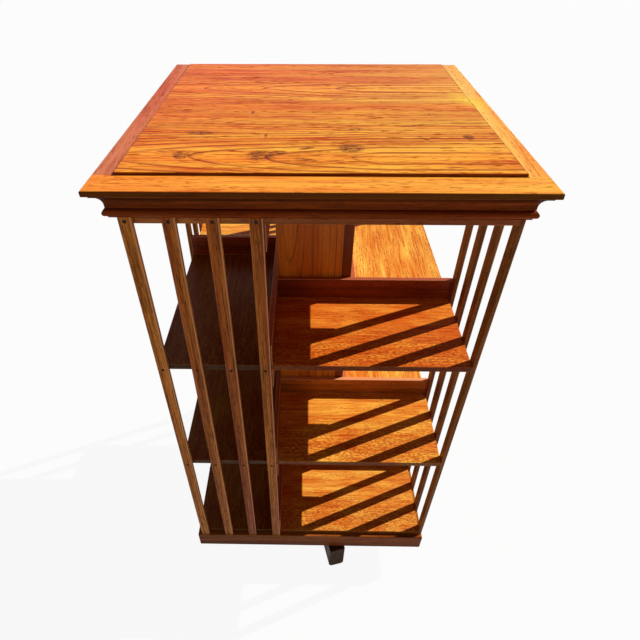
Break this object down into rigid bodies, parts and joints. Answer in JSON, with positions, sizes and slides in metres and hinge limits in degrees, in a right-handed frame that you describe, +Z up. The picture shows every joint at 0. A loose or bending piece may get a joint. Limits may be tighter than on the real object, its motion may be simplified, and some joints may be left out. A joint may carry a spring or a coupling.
{
  "type": "revolving bookcase",
  "caption": "Square open bookcase in three tiers with slatted sides and a moulded, panelled top, turning on a central post that stands in a cross-shaped base on feet.",
  "frame": {"origin": "on the floor, on the axis about which the case turns", "axes": "+X to the right and +Y to the back, square to the case's sides at rest, +Z up along the post"},
  "size_m": [0.61, 0.61, 1.104],
  "materials": {
    "polished_panel": "french polished, glossy",
    "polished_borders": "french polished, glossy",
    "shelf_wood": "polished",
    "slat_wood": "polished, open pores",
    "case_wood": "polished",
    "dark_base_wood": "dark stained",
    "plain_wood": "bare beech",
    "cast_iron": "black",
    "brass": "turned",
    "bright_steel": "turned",
    "darkened_screws": "darkened"
  },
  "bodies": {
    "base": {"base_arm_lower": "dark_base_wood", "base_arm_upper": "dark_base_wood", "foot_right": "dark_base_wood", "foot_back": "dark_base_wood", "foot_left": "dark_base_wood", "foot_front": "dark_base_wood", "centre_post": "plain_wood", "pivot_pin": "bright_steel", "post_flange": "cast_iron", "flange_screws": "bright_steel"},
    "case": {"plinth_front": "case_wood", "plinth_right": "case_wood", "plinth_back": "case_wood", "plinth_left": "case_wood", "plinth_glue_blocks": "plain_wood", "bearing_rail": "plain_wood", "guide_ring": "plain_wood", "shelf_lower": "shelf_wood", "shelf_middle": "shelf_wood", "shelf_upper": "shelf_wood", "carcass_top": "shelf_wood", "pivot_plate": "brass", "pivot_plate_screws": "bright_steel", "column_front": "case_wood", "column_right": "case_wood", "column_back": "case_wood", "column_left": "case_wood", "book_stops_lower": "case_wood", "battens_lower": "case_wood", "book_stops_middle": "case_wood", "battens_middle": "case_wood", "book_stops_upper": "case_wood", "battens_upper": "case_wood", "slat_front_1": "slat_wood", "slat_front_2": "slat_wood", "slat_front_3": "slat_wood", "slat_front_4": "slat_wood", "slat_right_1": "slat_wood", "slat_right_2": "slat_wood", "slat_right_3": "slat_wood", "slat_right_4": "slat_wood", "slat_back_1": "slat_wood", "slat_back_2": "slat_wood", "slat_back_3": "slat_wood", "slat_back_4": "slat_wood", "slat_left_1": "slat_wood", "slat_left_2": "slat_wood", "slat_left_3": "slat_wood", "slat_left_4": "slat_wood", "slat_screws": "darkened_screws", "cornice_front": "case_wood", "cornice_right": "case_wood", "cornice_back": "case_wood", "cornice_left": "case_wood", "top_border_front": "polished_borders", "top_border_right": "polished_borders", "top_border_left": "polished_borders", "top_panel": "polished_panel"}
  },
  "joints": [
    {"name": "case_spin", "type": "hinge", "parent": "base", "child": "case", "pos_m": [0, 0, 0.6], "axis": [0, 0, 1], "continuous": true}
  ]
}
